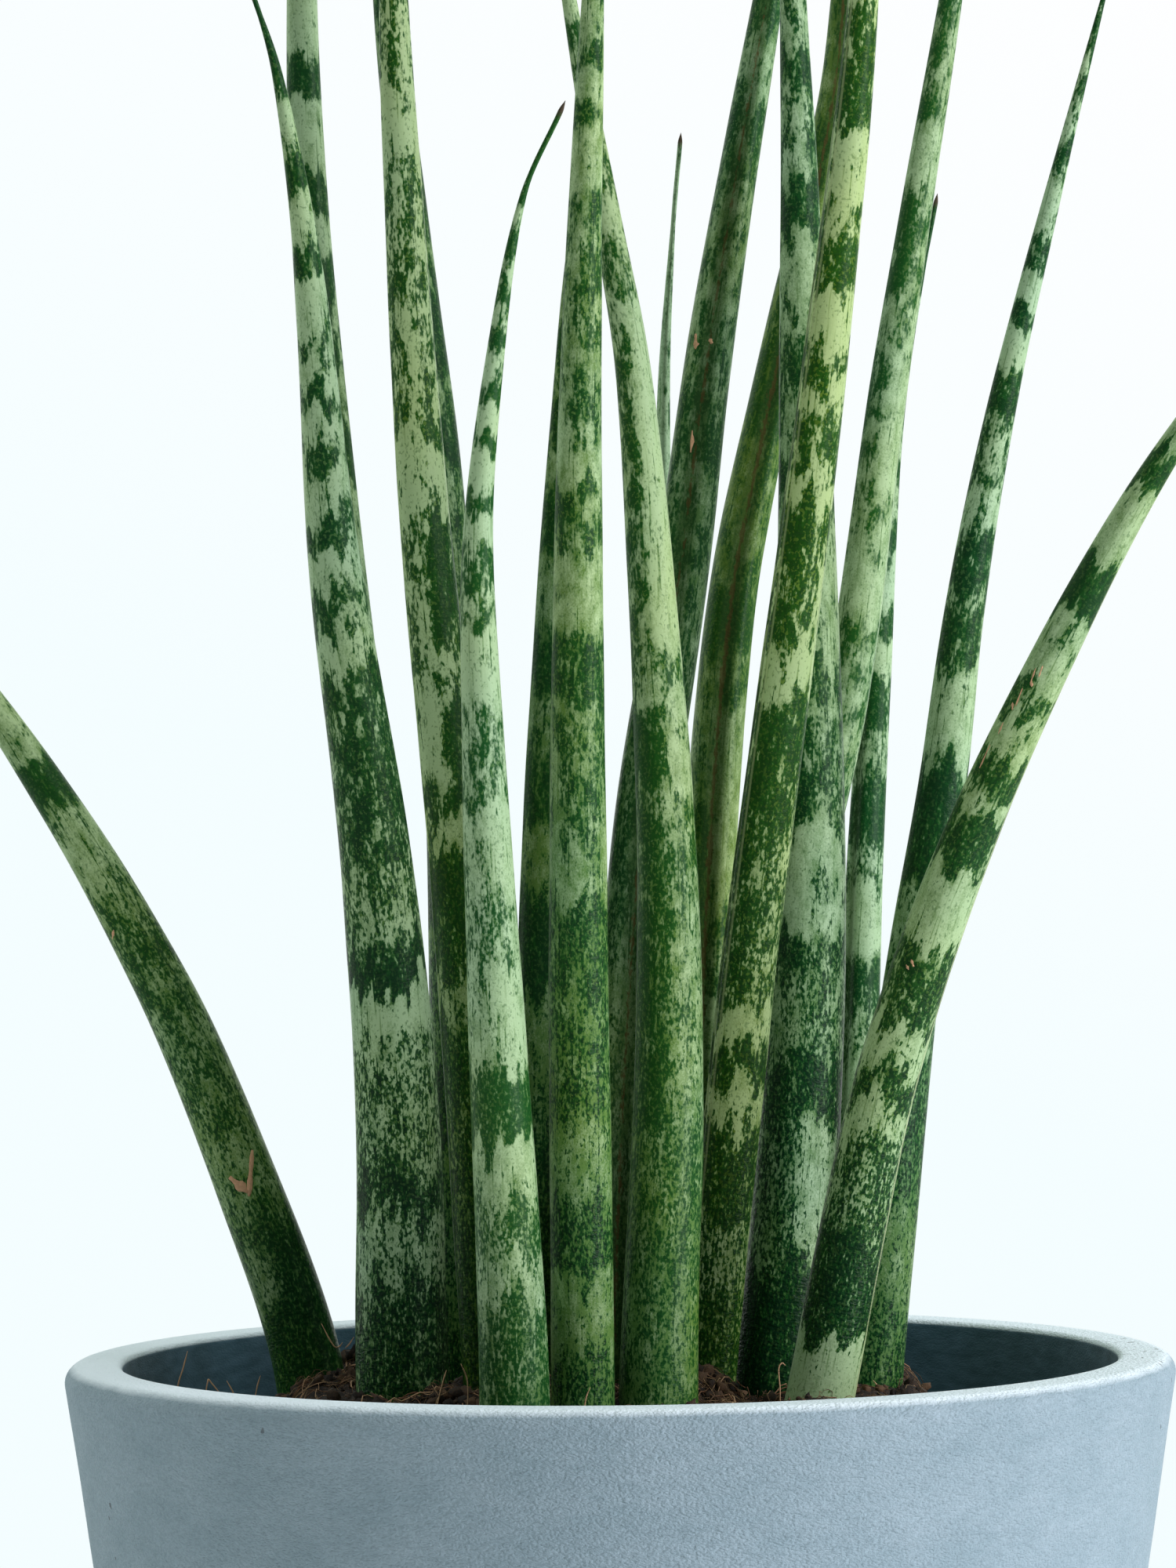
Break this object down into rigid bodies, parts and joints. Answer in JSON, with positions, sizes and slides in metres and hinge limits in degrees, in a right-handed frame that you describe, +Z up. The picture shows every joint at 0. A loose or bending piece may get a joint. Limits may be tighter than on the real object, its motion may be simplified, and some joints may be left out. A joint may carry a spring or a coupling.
{
  "type": "potted cylindrical snake plant",
  "caption": "Potted cylindrical snake plant: round, pointed, cross-banded leaves standing in a mound of compost in a round tapered planter with a thick rim.",
  "frame": {"origin": "centre of the pot's flat underside", "axes": "+Z up along the pot's axis; the side the picture shows faces -Y; +X to the right as seen from there"},
  "size_m": [0.2713, 0.2, 0.526],
  "materials": {
    "pot": "matte",
    "soil": "matte",
    "leaf": "satin"
  },
  "bodies": {
    "root": {"pot": "pot", "soil": "soil", "leaf_01": "leaf", "leaf_02": "leaf", "leaf_03": "leaf", "leaf_04": "leaf", "leaf_05": "leaf", "leaf_06": "leaf", "leaf_07": "leaf", "leaf_08": "leaf", "leaf_09": "leaf", "leaf_10": "leaf", "leaf_11": "leaf", "leaf_12": "leaf", "leaf_13": "leaf", "leaf_14": "leaf", "leaf_15": "leaf", "leaf_16": "leaf", "leaf_17": "leaf", "leaf_18": "leaf", "leaf_19": "leaf"}
  },
  "joints": []
}
